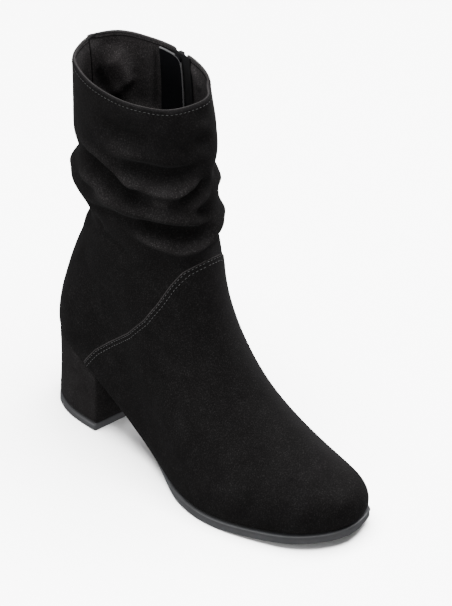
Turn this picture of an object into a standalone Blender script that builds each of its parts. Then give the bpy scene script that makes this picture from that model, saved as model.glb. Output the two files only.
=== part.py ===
# Slouch boot for the right foot: gathered suede upper, covered block heel, rubber outsole.
# x is positive to the inner side of the foot, the toe points to -Y and the floor is z = 0.
# Inside the script a place on the boot is (x, u, z), with u measured forward from the heel's back.
import math

import bmesh
import bpy
import numpy as np
from mathutils import Matrix, Vector

# Driving sizes in metres
sole_length = 0.2425         # outsole, back of the heel to the toe
ball_width = 0.0850          # upper across the ball
heel_width = 0.0600          # upper across the heel at its lower edge
seat_height = 0.0565         # upper's lower edge above the floor, at the back
toe_spring = 0.0062          # rise of the toe above the ball
ankle_height = 0.1410        # where the foot's sections give way to the shaft's
collar_height = 0.2560       # rim of the collar above the floor
collar_depth = 0.1020        # shaft, front to back
collar_width = 0.0700        # shaft, side to side
wall = 0.0020                # suede with its lining
overlay = 0.0011             # leather of the vamp where it laps over the quarter
overlay_ramp = 0.0012        # width of the turned edge at that lap
fold_depth = 0.0060          # a full fold of the slouching shaft
fold_width = 0.0068          # half width of a full fold

sole_thickness = 0.0060      # outsole at the ball
waist_thickness = 0.0030     # outsole under the arch
sole_lip = 0.0024            # outsole's edge beyond the upper
waist_inset = 0.0014         # outsole's edge inside the upper's, under the arch
bead_step = 0.0005           # step in the outsole's side below its bead
insole_thickness = 0.0022
insole_edge = 0.0006         # turned top edge of the insole
insole_clearance = 0.0004    # insole's edge inside the wall

breast = 0.0550              # front face of the heel, from the back of the boot
heel_taper = 0.0016          # heel's foot inside its top, all round
heel_waist = 0.0008          # how far the heel's sides draw in at half height
top_piece_height = 0.0048
top_piece_edge = 0.0004      # broken edge where it meets the floor

zip_foot = 0.0800            # lower end of the slit above the floor
tape_thickness = 0.0009
tape_lift = 0.0010           # lower end of the tape above the slit's
tape_drop = 0.0034           # upper end of the tape below the rim
coil_width = 0.0042
coil_flank = 0.0005          # width of the coil's sloping side
coil_rise = 0.0016           # coil's face above the wall's inner face
slider_size = (0.0074, 0.0110, 0.0022)
slider_drop = 0.0130         # middle of the slider below the rim
metal_edge = 0.0005
bail_width = 0.0022
bail_length = 0.0080
bail_height = 0.0030
bail_stock = 0.0010
pull_size = (0.0068, 0.0230, 0.0012)
pull_bar = 0.0012
pull_slot = (0.0036, 0.0070)
guard_thickness = 0.0013
guard_foot = 0.1500          # lower end of the zip guard above the floor
guard_drop = 0.0030          # top of the zip guard below the rim
seat_gap = 0.0003            # clearance between neighbours

# Stations round a section, as shares of its length, with the sole's half widths and the tip's
# offset as shares of half the ball's width
station_shares = [
    # along, outer side, inner side
    (0.045, 0.49, 0.49),
    (0.150, 0.70, 0.70),
    (0.400, 0.63, 0.57),
    (0.680, 0.98, 0.95),
    (0.900, 0.585, 0.91),
    (0.968, 0.24, 0.78),
]
tip_share = 0.23
heel_stations = 2
# Columns from one station to the next, as shares of the way; the zip's slit lies between the
# shares 0.15 and 0.46 of the fourth stretch, on the inner side
columns = [(0, 0.5), (0, 0.33, 0.67), (0, 0.25, 0.5, 0.75), (0, 0.15, 0.46, 0.64, 0.82),
           (0, 0.2, 0.4, 0.6, 0.8), (0, 0.5), (0, 0.5)]

# Height of the upper's lower edge between the seat (1) and the ball (0), along the sole
feather_shares = [(0, 1.0), (0.083, 0.965), (0.183, 0.815), (0.237, 0.68), (0.32, 0.415), (0.382, 0.225),
           (0.457, 0.085), (0.52, 0.02), (0.58, 0.0), (1.0, 0.0)]
spring_share = 0.70
spring_power = 1.5
# Growth of the outsole's lip and of its thickness from the waist (0) to the ball (1)
lip_shares = [(0.46, 0.0), (0.57, 1.0)]
thickness_shares = [(0.40, 0.0), (0.60, 1.0)]
# Side of the outsole from its top edge down, with a narrow bead along the top
sole_side_shares = [
    # inset as a share of the bead's step, depth as a share of the thickness
    (1.2, 0.00),
    (0.0, 0.08),
    (0.0, 0.20),
    (1.0, 0.27),
    (0.9, 0.90),
    (1.8, 1.00),
]
heel_layers = 5

# Sections of the foot from the lower edge up to the ankle. back and front are shares of the
# sole's length, rises are shares of the way up to the ankle, ball and heel are shares of half
# widths, and oval goes from the sole's outline (0) to the shaft's (1)
foot_section_shares = [
    # back, back rise, front, front rise, ball, heel, oval
    (0.006, 0.000, 0.990, 0.000, 1.000, 1.000, 0.00),
    (0.003, 0.077, 0.996, 0.058, 1.030, 1.033, 0.05),
    (0.006, 0.195, 0.986, 0.144, 0.985, 1.050, 0.14),
    (0.012, 0.314, 0.912, 0.210, 0.905, 1.050, 0.32),
    (0.021, 0.420, 0.806, 0.282, 0.836, 1.033, 0.50),
    (0.031, 0.538, 0.706, 0.380, 0.775, 1.017, 0.67),
    (0.044, 0.657, 0.620, 0.520, 0.740, 1.000, 0.82),
    (0.058, 0.763, 0.558, 0.671, 0.721, 1.000, 0.92),
    (0.077, 0.882, 0.515, 0.838, 0.717, 1.000, 1.00),
]
# Sections of the shaft from the ankle (0) to the collar (1). back is a share of the sole's
# length, depth and width are shares of the collar's, lean is a share of half its width
shaft_section_shares = [
    # rise, back, depth, width, lean
    (0.000, 0.086, 0.968, 0.900, 0.000),
    (0.078, 0.086, 0.950, 0.914, 0.000),
    (0.252, 0.061, 1.000, 0.957, -0.014),
    (0.513, 0.053, 1.000, 0.986, -0.071),
    (0.780, 0.052, 0.968, 1.000, -0.100),
    (1.000, 0.048, 0.945, 0.985, -0.130),
]
shaft_squareness = 2.2
foot_rings = 15
shaft_rings = 25

# Folds of the shaft. angle runs from the back (0) over the outer side (90) to the front (180)
# and the inner side (270); height is a share of the collar's; span is in degrees; tilt and bow
# are rises along the span as shares of the fold's width; depth is a share of a full fold
folds = [
    # angle, height, span, tilt, bow, depth, width
    (102, 0.752, 52, -0.80, -0.40, -0.85, 0.90),
    (142, 0.808, 52, 0.20, 0.60, -1.00, 0.95),
    (152, 0.774, 36, 0.00, 0.50, 0.50, 0.70),
    (167, 0.756, 26, 1.10, 0.00, -0.75, 0.75),
    (178, 0.708, 14, 0.00, 0.00, -0.55, 0.80),
    (122, 0.700, 62, 0.20, -1.20, 0.60, 0.95),
    (152, 0.648, 44, -0.70, -0.40, -1.00, 0.90),
    (154, 0.610, 36, 0.20, 0.80, 0.60, 0.75),
    (192, 0.645, 44, 0.20, 0.30, 0.90, 0.95),
    (190, 0.592, 40, 0.30, 0.20, -0.85, 0.80),
    (96, 0.580, 34, -1.20, 0.00, -0.30, 0.80),
    (111, 0.895, 20, -1.00, 0.00, -0.30, 1.30),
    (184, 0.895, 16, -1.00, 0.00, -0.30, 1.20),
    (28, 0.583, 62, 0.50, -0.30, -0.65, 1.00),
    (18, 0.755, 58, 0.40, 0.30, -0.55, 1.00),
    (34, 0.672, 66, 0.00, -0.40, 0.70, 1.20),
    (226, 0.800, 40, 0.60, -0.50, -0.70, 0.90),
    (250, 0.700, 52, -0.90, 0.40, -0.75, 0.95),
    (232, 0.628, 44, 0.80, 0.50, -0.75, 0.85),
    (292, 0.765, 42, 0.90, -0.60, -0.60, 0.95),
    (308, 0.648, 44, -0.70, 0.50, -0.65, 0.95),
    (276, 0.580, 40, 0.60, -0.40, -0.45, 0.90),
    (217, 0.985, 13, 0.00, 0.00, -0.40, 1.60),
    (196, 0.985, 18, 0.00, 0.00, 0.30, 1.80),
    (344, 1.000, 46, 0.00, 0.00, 0.45, 2.20),
]

# Edge of the vamp where it laps over the quarter: share of the sole's length against share of
# the collar's height. Ahead of it and below it lies the vamp
vamp_edge_shares = [(0.150, 0.120), (0.181, 0.176), (0.232, 0.244), (0.276, 0.286), (0.346, 0.347),
             (0.381, 0.388), (0.398, 0.408), (0.429, 0.465), (0.451, 0.516), (0.472, 0.558),
             (0.496, 0.583), (0.520, 0.592), (1.000, 0.596)]

# Front edge of the tape, as a share of the column ahead of the slit
tape_far_share = 0.8
# Where the guard runs across the slit: columns counted from the slit's, share of the way to the next
guard_shares = [(0, 0.3), (1, 0.0), (2, 0.0), (3, 0.2)]

ball_level = sole_thickness + seat_gap
tip_level = ball_level + toe_spring


def smooth(points, x):
    """Value at x of a curve through the points with no overshoot between them."""
    xs = [p[0] for p in points]
    ys = [p[1] for p in points]
    count = len(xs)
    if x <= xs[0]:
        return ys[0]
    if x >= xs[-1]:
        return ys[-1]
    slopes = [(ys[i + 1] - ys[i]) / (xs[i + 1] - xs[i]) for i in range(count - 1)]
    tangents = [slopes[0]]
    for i in range(1, count - 1):
        same = slopes[i - 1] * slopes[i] > 0
        tangents.append(2 * slopes[i - 1] * slopes[i] / (slopes[i - 1] + slopes[i]) if same else 0.0)
    tangents.append(slopes[-1])
    i = max(k for k in range(count - 1) if xs[k] <= x)
    h = xs[i + 1] - xs[i]
    t = (x - xs[i]) / h
    return (ys[i] * (1 + 2 * t) * (1 - t) ** 2 + tangents[i] * h * t * (1 - t) ** 2
            + ys[i + 1] * t * t * (3 - 2 * t) + tangents[i + 1] * h * t * t * (t - 1))


def edge_level(u):
    """Height of the upper's lower edge at u."""
    s = u / sole_length
    rise = max(0.0, (s - spring_share) / (1 - spring_share)) ** spring_power
    return ball_level + (seat_height - ball_level) * smooth(feather_shares, s) + toe_spring * rise


def column(table, row, index):
    """One column of a table at a row that may lie between two."""
    return smooth([(i, line[index]) for i, line in enumerate(table)], row)


def oval_width(s):
    """Half width of the shaft's oval at a share of its length."""
    return (1 - abs(2 * s - 1) ** shaft_squareness) ** (1 / shaft_squareness)


def closed_curve(points):
    """Smooth closed curve through the points, cut into the columns of the upper."""
    count = len(points)
    order = columns + [(0, *(1 - t for t in stretch[:0:-1])) for stretch in columns[::-1]]
    out = []
    for i in range(count):
        p0, p1, p2, p3 = (np.array(points[(i + k) % count]) for k in (-1, 0, 1, 2))
        length = np.linalg.norm(p2 - p1)
        before = np.linalg.norm(p1 - p0)
        after = np.linalg.norm(p3 - p2)
        m1 = (p2 - p0) / (length + before) * length
        m2 = (p3 - p1) / (length + after) * length
        for t in order[i]:
            out.append(p1 * (1 + 2 * t) * (1 - t) ** 2 + m1 * t * (1 - t) ** 2
                       + p2 * t * t * (3 - 2 * t) + m2 * t * t * (t - 1))
    return out


def ring(back, front, widths, tip, level, lean):
    """One closed section as (x, u, z) points, from the back over the outer side to the front."""
    chord = front - back
    control = [(lean, back)]
    for (s, _, _), (outer, _) in zip(station_shares, widths):
        control.append((lean - outer, back + s * chord))
    control.append((lean + tip, front))
    for (s, _, _), (_, inner) in reversed(list(zip(station_shares, widths))):
        control.append((lean + inner, back + s * chord))
    return [(x, u, level(u, (u - back) / chord)) for x, u in closed_curve(control)]


def foot_ring(row):
    """A section of the foot, tilted from the heel down to the toe."""
    table = foot_section_shares + [ankle_row()]
    back, back_rise, front, front_rise, ball, heel, oval = (column(table, row, k) for k in range(7))
    back_z = seat_height + back_rise * (ankle_height - seat_height)
    front_z = tip_level + front_rise * (ankle_height - tip_level)
    half_ball = ball * ball_width / 2
    half_heel = heel * heel_width / 2
    widths = []
    for i, (s, outer, inner) in enumerate(station_shares):
        if i < heel_stations:
            share = outer / station_shares[heel_stations - 1][1]
            low = (half_heel * share, half_heel * share)
        else:
            low = (half_ball * outer, half_ball * inner)
        round_width = half_ball * oval_width(s)
        widths.append(tuple(w * (1 - oval) + round_width * oval for w in low))

    def level(u, s):
        sag = edge_level(u) - (seat_height + (tip_level - seat_height) * s)
        return back_z + (front_z - back_z) * s + (1 - oval) * sag

    return ring(back * sole_length, front * sole_length, widths,
                tip_share * half_ball * (1 - oval), level, 0.0)


def ankle_row():
    """Last row of the foot's table, taken from the first section of the shaft."""
    rise, back, depth, width, lean = shaft_section_shares[0]
    front = back + depth * collar_depth / sole_length
    return (back, 1.0, front, 1.0, width * collar_width / ball_width, 1.0, 1.0)


def shaft_ring(rise):
    """A level section of the shaft."""
    rows = shaft_section_shares
    back, depth, width, lean = (smooth([(r[0], r[k]) for r in rows], rise) for k in (1, 2, 3, 4))
    half = width * collar_width / 2
    widths = [(half * oval_width(s),) * 2 for s, _, _ in station_shares]
    z = ankle_height + rise * (collar_height - ankle_height)
    start = back * sole_length
    return ring(start, start + depth * collar_depth, widths, 0.0, lambda u, s: z,
                lean * collar_width / 2)


def fold(angle, z):
    """How far the folds push the wall out at an angle and a height."""
    total = 0.0
    for mid, height, span, tilt, bow, depth, width in folds:
        q = ((angle - mid + 180) % 360 - 180) / span
        if abs(q) >= 1:
            continue
        half = width * fold_width
        rise = height * collar_height + (tilt * q + bow * q * q) * fold_width
        total += depth * fold_depth * math.cos(q * math.pi / 2) ** 2 * math.exp(-((z - rise) / half) ** 2)
    return total


def grid_normals(grid):
    """Outward directions of the wall at each point of the grid of sections."""
    around = np.roll(grid, -1, axis=1) - np.roll(grid, 1, axis=1)
    up = np.empty_like(grid)
    up[1:-1] = grid[2:] - grid[:-2]
    up[0] = grid[1] - grid[0]
    up[-1] = grid[-1] - grid[-2]
    normals = np.cross(up, around)
    normals[0, :, 2] = 0
    normals[-1, :, 2] = 0
    return normals / np.linalg.norm(normals, axis=2, keepdims=True)


def upper_grid():
    """Outer face of the upper as sections of points, its outward directions and heights."""
    rows = [foot_ring(len(foot_section_shares) * i / foot_rings) for i in range(foot_rings)]
    rows += [shaft_ring(i / (shaft_rings - 1)) for i in range(shaft_rings)]
    grid = np.array(rows)
    normals = grid_normals(grid)
    for i, row in enumerate(rows):
        xs = [p[0] for p in row]
        us = [p[1] for p in row]
        mid_x, mid_u = (max(xs) + min(xs)) / 2, (max(us) + min(us)) / 2
        half_x, half_u = (max(xs) - min(xs)) / 2, (max(us) - min(us)) / 2
        for j, (x, u, z) in enumerate(row):
            angle = math.degrees(math.atan2((mid_x - x) / half_x, (mid_u - u) / half_u)) % 360
            push = fold(angle, z) * min(1.0, i / foot_rings)
            grid[i, j] += normals[i, j] * [push, push, 0 if i == len(rows) - 1 else push]
    return grid, grid_normals(grid)


def place(point):
    """World position of an (x, u, z) point."""
    x, u, z = point
    return Vector((x, sole_length / 2 - u, z))


def material(name, colour, roughness, metallic=0.0):
    """A plain material for a sub-part."""
    made = bpy.data.materials.new(name)
    made.use_nodes = True
    shader = made.node_tree.nodes["Principled BSDF"]
    shader.inputs["Base Color"].default_value = (*colour, 1.0)
    shader.inputs["Roughness"].default_value = roughness
    shader.inputs["Metallic"].default_value = metallic
    return made


def finish(name, bm, surface, angle=40):
    """Turns a bmesh into a named object with its faces outward."""
    bmesh.ops.recalc_face_normals(bm, faces=bm.faces)
    mesh = bpy.data.meshes.new(name)
    bm.to_mesh(mesh)
    bm.free()
    made = bpy.data.objects.new(name, mesh)
    bpy.context.scene.collection.objects.link(made)
    mesh.materials.append(surface)
    mesh.shade_smooth()
    mesh.set_sharp_from_angle(angle=math.radians(angle))
    return made


def skin(bm, rows, closed=True):
    """Joins rows of vertices with quads."""
    for low, high in zip(rows, rows[1:]):
        count = len(low)
        for j in range(count if closed else count - 1):
            k = (j + 1) % count
            bm.faces.new((low[j], low[k], high[k], high[j]))


def cross_cap(bm, loop):
    """Closes a loop with strips that run straight across it from side to side."""
    count = len(loop)
    i, j = 0, count - 1
    if count % 2 == 0 and loop[0].co.x * loop[-1].co.x <= 0 and abs(loop[0].co.x) < heel_width / 8:
        bm.faces.new((loop[0], loop[1], loop[-1]))
        i = 1
    while j - i > 2:
        bm.faces.new((loop[i], loop[i + 1], loop[j - 1], loop[j]))
        i, j = i + 1, j - 1
    if j - i == 2:
        bm.faces.new((loop[i], loop[i + 1], loop[j]))


def layered(name, loops, surface, angle=40):
    """A solid from level-by-level loops of (x, u, z) points, capped at both ends."""
    bm = bmesh.new()
    rows = [[bm.verts.new(place(p)) for p in loop] for loop in loops]
    skin(bm, rows)
    cross_cap(bm, rows[0])
    cross_cap(bm, rows[-1])
    return finish(name, bm, surface, angle)


def cut_edge(bm, value, outer, level, snap=0.15):
    """Cuts the outer faces along the line where the vertex value reaches the level."""
    on_line = set()
    for edge in [e for e in bm.edges if e.verts[0][outer] and e.verts[1][outer]]:
        first, second = edge.verts
        a, b = first[value] - level, second[value] - level
        if a * b >= 0:
            continue
        share = a / (a - b)
        if snap <= share <= 1 - snap:
            made = bmesh.utils.edge_split(edge, first, share)[1]
            made[outer] = 1
        else:
            made = first if share < snap else second
            other = second if share < snap else first
            made.co = made.co.lerp(other.co, share if share < snap else 1 - share)
        made[value] = level
        on_line.add(made)
    bmesh.ops.connect_verts(bm, verts=list(on_line))


def vamp_side(point):
    """How far a point lies on the vamp's side of the vamp's edge."""
    _, u, z = point
    rise = smooth(vamp_edge_shares, u / sole_length)
    return rise * collar_height - z


def slit_columns():
    """Columns on both sides of the zip's slit, on the inner side of the foot."""
    counts = [len(stretch) for stretch in columns]
    right = 2 * sum(counts) - sum(counts[:3]) - 1
    return right - 1, right


def slit_start(grid):
    """First section that the slit cuts."""
    column_index = slit_columns()[0]
    return next(i for i in range(len(grid)) if grid[i, column_index, 2] > zip_foot)


def make_upper(grid, normals, surface):
    """Hollow suede upper with its slit, its folds and the step at the vamp's edge."""
    inner_grid = grid - normals * wall
    bm = bmesh.new()
    value = bm.verts.layers.float.new("vamp")
    outer = bm.verts.layers.int.new("outer")
    shells = []
    for points, flag in ((grid, 1), (inner_grid, 0)):
        rows = []
        for row in points:
            rows.append([bm.verts.new(place(p)) for p in row])
            for vert, p in zip(rows[-1], row):
                vert[value] = vamp_side(p)
                vert[outer] = flag
        shells.append(rows)
    total = grid.shape[1]
    left = slit_columns()[0]
    start = slit_start(grid)
    for rows in shells:
        for i in range(len(rows) - 1):
            for j in range(total):
                if j == left and i >= start:
                    continue
                k = (j + 1) % total
                bm.faces.new((rows[i][j], rows[i][k], rows[i + 1][k], rows[i + 1][j]))
    out, inn = shells
    for j in range(total):
        k = (j + 1) % total
        bm.faces.new((out[0][j], out[0][k], inn[0][k], inn[0][j]))
        if j != left:
            bm.faces.new((out[-1][j], out[-1][k], inn[-1][k], inn[-1][j]))
    right = (left + 1) % total
    bm.faces.new((out[start][left], out[start][right], inn[start][right], inn[start][left]))
    for side in (left, right):
        for i in range(start, len(grid) - 1):
            bm.faces.new((out[i][side], out[i + 1][side], inn[i + 1][side], inn[i][side]))
    bmesh.ops.recalc_face_normals(bm, faces=bm.faces)
    cut_edge(bm, value, outer, 0.0)
    cut_edge(bm, value, outer, -overlay_ramp, 0.02)
    bm.normal_update()
    moves = []
    for vert in bm.verts:
        if vert[outer] and vert[value] > -overlay_ramp / 2:
            push = vert.normal.copy()
            if abs(vert.co.z - edge_level(sole_length / 2 - vert.co.y)) < wall:
                push.z = 0
            moves.append((vert, push.normalized() * overlay))
    for vert, move in moves:
        vert.co += move
    bmesh.ops.triangulate(bm, faces=bm.faces)
    return finish("upper", bm, surface, 60)


def outline_normals(loop):
    """Outward directions in plan of an outline."""
    pts = np.array(loop)[:, :2]
    run = np.roll(pts, -1, axis=0) - np.roll(pts, 1, axis=0)
    out = np.stack([run[:, 1], -run[:, 0]], 1)
    centre = pts.mean(axis=0)
    if ((pts - centre) * out).sum() < 0:
        out = -out
    return out / np.linalg.norm(out, axis=1, keepdims=True)


def cut_outline(loop, normals, keep, at):
    """Part of an outline on one side of u = at, with points added exactly there."""
    pts = []
    count = len(loop)
    for j in range(count):
        a, b = loop[j], loop[(j + 1) % count]
        na, nb = normals[j], normals[(j + 1) % count]
        if keep(a[1]):
            pts.append((*a, na))
        if keep(a[1]) != keep(b[1]):
            t = (at - a[1]) / (b[1] - a[1])
            pts.append((a[0] + t * (b[0] - a[0]), at, a[2] + t * (b[2] - a[2]), na + t * (nb - na)))
    return pts


def make_outsole(base, surface):
    """Rubber outsole from the heel's breast to the toe, with a bead along its top edge."""
    start = breast + seat_gap
    pts = cut_outline(base, outline_normals(base), lambda u: u > start, start)
    loops = []
    for inset, share in sole_side_shares:
        loop = []
        for x, u, z, normal in pts:
            s = u / sole_length
            grow = smooth(lip_shares, s)
            reach = sole_lip * grow - waist_inset * (1 - grow) - bead_step * inset
            thick = waist_thickness + (sole_thickness - waist_thickness) * smooth(thickness_shares, s)
            if u > start:
                x, u = x + normal[0] * reach, max(start, u + normal[1] * reach)
            else:
                x += reach if x > 0 else -reach
            loop.append((x, u, z - seat_gap - share * thick))
        loops.append(loop)
    return layered("outsole", loops, surface)


def heel_loop(base, inset, foot, share):
    """Outline of the heel a share of the way up, drawn in from the upper's edge by an inset."""
    pts = cut_outline(base, outline_normals(base), lambda u: u < breast, breast)
    first = next(i for i, p in enumerate(pts) if p[1] == breast and p[0] > 0)
    pts = pts[first:] + pts[:first]
    loop = []
    for x, u, z, normal in pts:
        if u < breast:
            x, u = x - normal[0] * inset, min(u - normal[1] * inset, breast)
        else:
            x -= math.copysign(inset, x)
        loop.append((x, u, foot + (z - seat_gap - foot) * share))
    return loop


def make_heel(base, surface, sole_surface):
    """Covered block heel and its rubber top piece."""
    foot = top_piece_height + seat_gap
    loops = []
    for k in range(heel_layers):
        share = k / (heel_layers - 1)
        inset = heel_taper * (1 - share) + heel_waist * math.sin(share * math.pi)
        loops.append(heel_loop(base, inset, foot, share))
    layered("heel_block", loops, surface)
    layers = [(heel_taper + top_piece_edge, 0.0), (heel_taper, top_piece_edge),
              (heel_taper, top_piece_height)]
    loops = [heel_loop(base, inset, z, 0.0) for inset, z in layers]
    layered("heel_top_piece", loops, sole_surface)


def make_insole(base, surface):
    """Padded insole lying inside the upper."""
    normals = outline_normals(base)
    layers = [(0.0, 0.0), (insole_thickness - insole_edge, 0.0), (insole_thickness, insole_edge)]
    loops = []
    for height, drawn_in in layers:
        edge = wall + insole_clearance + drawn_in
        loop = []
        for (x, u, z), normal in zip(base, normals):
            x, u = x - normal[0] * edge, u - normal[1] * edge
            loop.append((x, u, z + seat_gap / 2 + height))
        loops.append(loop)
    return layered("insole", loops, surface)


def between(a, b, share):
    """Point a share of the way from a to b."""
    return a + (b - a) * share


def strip_rows(grid, normals, first, last, shares):
    """Points and outward directions along chosen columns, from one section to another."""
    rows = []
    for i in range(first, last + 1):
        line = []
        for c, share in shares:
            k = (c + 1) % grid.shape[1]
            normal = between(normals[i, c], normals[i, k], share)
            line.append((between(grid[i, c], grid[i, k], share), normal / np.linalg.norm(normal)))
        rows.append(line)
    return rows


def prism(name, sections, surface, angle=40):
    """A closed strip from one loop of points per section."""
    bm = bmesh.new()
    rows = [[bm.verts.new(place(p)) for p in section] for section in sections]
    skin(bm, rows)
    half = len(rows[0]) // 2
    for row in (rows[0], rows[-1]):
        for j in range(half - 1):
            bm.faces.new((row[j], row[j + 1], row[-2 - j], row[-1 - j]))
    bmesh.ops.triangulate(bm, faces=bm.faces)
    return finish(name, bm, surface, angle)


def make_zip(grid, normals, surface):
    """Zip tape inside the wall, with its closed coil standing up in the slit."""
    left, right = slit_columns()
    start = slit_start(grid)
    last = len(grid) - 1
    inner = grid - normals * wall
    gap = np.linalg.norm(grid[last, right] - grid[last, left])
    half = coil_width / gap / 2
    flank = coil_flank / gap
    shares = [(left - 1, 0.0), (left, 0.0), (left, 0.5 - half), (left, 0.5 - half + flank),
              (left, 0.5 + half - flank), (left, 0.5 + half), (right, 0.0), (right, tape_far_share)]
    lift = [0, 0, 0, 1, 1, 0, 0, 0]
    rows = strip_rows(inner, normals, start, last, shares)
    raised = tape_lift / (grid[start + 1, left, 2] - grid[start, left, 2])
    dropped = tape_drop / (grid[last, left, 2] - grid[last - 1, left, 2])
    rows[0] = [(between(p, q, raised), n) for (p, n), (q, _) in zip(rows[0], rows[1])]
    rows[-1] = [(between(p, q, dropped), n) for (p, n), (q, _) in zip(rows[-1], rows[-2])]
    sections = []
    for line in rows:
        outer = [p - n * seat_gap + n * up * (seat_gap + coil_rise) for (p, n), up in zip(line, lift)]
        back = [p - n * (seat_gap + tape_thickness) for p, n in line]
        sections.append(outer + back[::-1])
    prism("zip_tape", sections, surface)


def make_guard(grid, normals, surface):
    """Flap inside the shaft that keeps the zip off the leg."""
    left, right = slit_columns()
    inner = grid - normals * (wall + 2 * seat_gap + tape_thickness)
    first = next(i for i in range(len(grid)) if grid[i, left, 2] > guard_foot)
    shares = [(left + offset, share) for offset, share in guard_shares]
    rows = strip_rows(inner, normals, first, len(grid) - 1, shares)
    step = collar_height - grid[-2, left, 2]
    rows[-1] = [(between(p, q, guard_drop / step), n) for (p, n), (q, _) in zip(rows[-1], rows[-2])]
    sections = []
    for line in rows:
        outer = [p for p, n in line]
        back = [p - n * guard_thickness for p, n in line]
        sections.append(outer + back[::-1])
    prism("zip_guard", sections, surface)


def box(bm, centre, size):
    """A box with its middle at a point."""
    made = bmesh.ops.create_cube(bm, size=1.0)["verts"]
    for vert in made:
        vert.co = Vector([c * s for c, s in zip(vert.co, size)]) + Vector(centre)


def slider_frame(grid, normals):
    """Place of the slider on the coil, its upward, outward and sideways directions."""
    left, right = slit_columns()
    height = collar_height - slider_drop
    i = next(k for k in range(len(grid)) if grid[k, left, 2] > height)
    share = (height - grid[i - 1, left, 2]) / (grid[i, left, 2] - grid[i - 1, left, 2])
    low = (grid[i - 1, left] + grid[i - 1, right]) / 2
    high = (grid[i, left] + grid[i, right]) / 2
    normal = normals[i, left] + normals[i, right]
    up = place(high) - place(low)
    out = Vector((normal[0], -normal[1], normal[2]))
    up.normalize()
    out = (out - up * out.dot(up)).normalized()
    at = place(between(low, high, share))
    return at, up, out, out.cross(up)


def union(target, other):
    """Joins another solid to an object for good."""
    joiner = target.modifiers.new("join", "BOOLEAN")
    joiner.operation = "UNION"
    joiner.solver = "EXACT"
    joiner.object = other
    bpy.context.view_layer.update()
    joined = bpy.data.meshes.new_from_object(target.evaluated_get(bpy.context.evaluated_depsgraph_get()))
    target.modifiers.clear()
    target.data = joined
    bpy.data.objects.remove(other)


def framed_plate(bm, outer, inner, depth):
    """A plate with a slot: outlines are lists of corner pairs, the plate lies in x and z."""
    rims = [[bm.verts.new((x, -depth / 2, z)) for x, z in loop] for loop in (outer, inner)]
    faces = []
    for j in range(len(outer)):
        k = (j + 1) % len(outer)
        faces.append(bm.faces.new((rims[0][j], rims[0][k], rims[1][k], rims[1][j])))
    made = bmesh.ops.extrude_face_region(bm, geom=faces)
    moved = [g for g in made["geom"] if isinstance(g, bmesh.types.BMVert)]
    bmesh.ops.translate(bm, verts=moved, vec=(0, depth, 0))


def rectangle(x0, x1, z0, z1):
    """Corners of a rectangle."""
    return [(x0, z0), (x1, z0), (x1, z1), (x0, z1)]


def make_slider(grid, normals, surface):
    """Slider with its bail, and the pull that swings on the bail. Local y points outward."""
    at, up, out, side = slider_frame(grid, normals)
    turn = Matrix((side, out, up)).transposed()
    wide, tall, thick = slider_size
    rest = coil_rise - wall + seat_gap
    foot = rest + thick
    bm = bmesh.new()
    box(bm, (0, rest + thick / 2, 0), (wide, thick, tall))
    bmesh.ops.bevel(bm, geom=bm.edges, offset=metal_edge, segments=1, affect="EDGES", profile=0.5)
    body = finish("zip_slider", bm, surface, 30)
    sunk = thick / 2
    bm = bmesh.new()
    half = bail_length / 2
    crown = foot + bail_height
    framed_plate(bm, rectangle(-half, half, foot - sunk, crown),
                 rectangle(-half + bail_stock, half - bail_stock, foot, crown - bail_stock), bail_width)
    for vert in bm.verts:
        vert.co = Vector((vert.co.y, vert.co.z, vert.co.x))
    union(body, finish("bail", bm, surface, 30))

    pivot = foot + (bail_height - bail_stock) / 2
    width, length, depth = pull_size
    slot_wide, slot_long = pull_slot
    bar = pull_bar / 2
    bm = bmesh.new()
    framed_plate(bm, rectangle(-width / 2, width / 2, -length + bar, bar),
                 rectangle(-slot_wide / 2, slot_wide / 2, -slot_long - bar, -bar), depth)
    pull = finish("zip_pull", bm, surface, 30)
    for made, shift in ((body, 0.0), (pull, pivot)):
        made.rotation_euler = turn.to_euler()
        made.location = at + out * shift


def main():
    for old in list(bpy.data.objects):
        bpy.data.objects.remove(old)
    suede = material("black suede", (0.012, 0.012, 0.013), 0.85)
    lining = material("suede lining", (0.020, 0.020, 0.021), 0.9)
    rubber = material("sole rubber", (0.045, 0.046, 0.048), 0.55)
    cover = material("heel cover", (0.013, 0.013, 0.014), 0.8)
    tape = material("zip tape", (0.010, 0.010, 0.011), 0.7)
    metal = material("zip metal", (0.045, 0.045, 0.048), 0.35, 1.0)
    webbing = material("guard webbing", (0.008, 0.008, 0.009), 0.8)

    grid, normals = upper_grid()
    base = foot_ring(0)
    make_upper(grid, normals, suede)
    make_outsole(base, rubber)
    make_heel(base, cover, rubber)
    make_insole(base, lining)
    make_zip(grid, normals, tape)
    make_guard(grid, normals, webbing)
    make_slider(grid, normals, metal)


main()
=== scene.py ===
import math

import bmesh
import bpy
import numpy as np
from mathutils import Matrix, Vector
from mathutils.bvhtree import BVHTree


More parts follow.
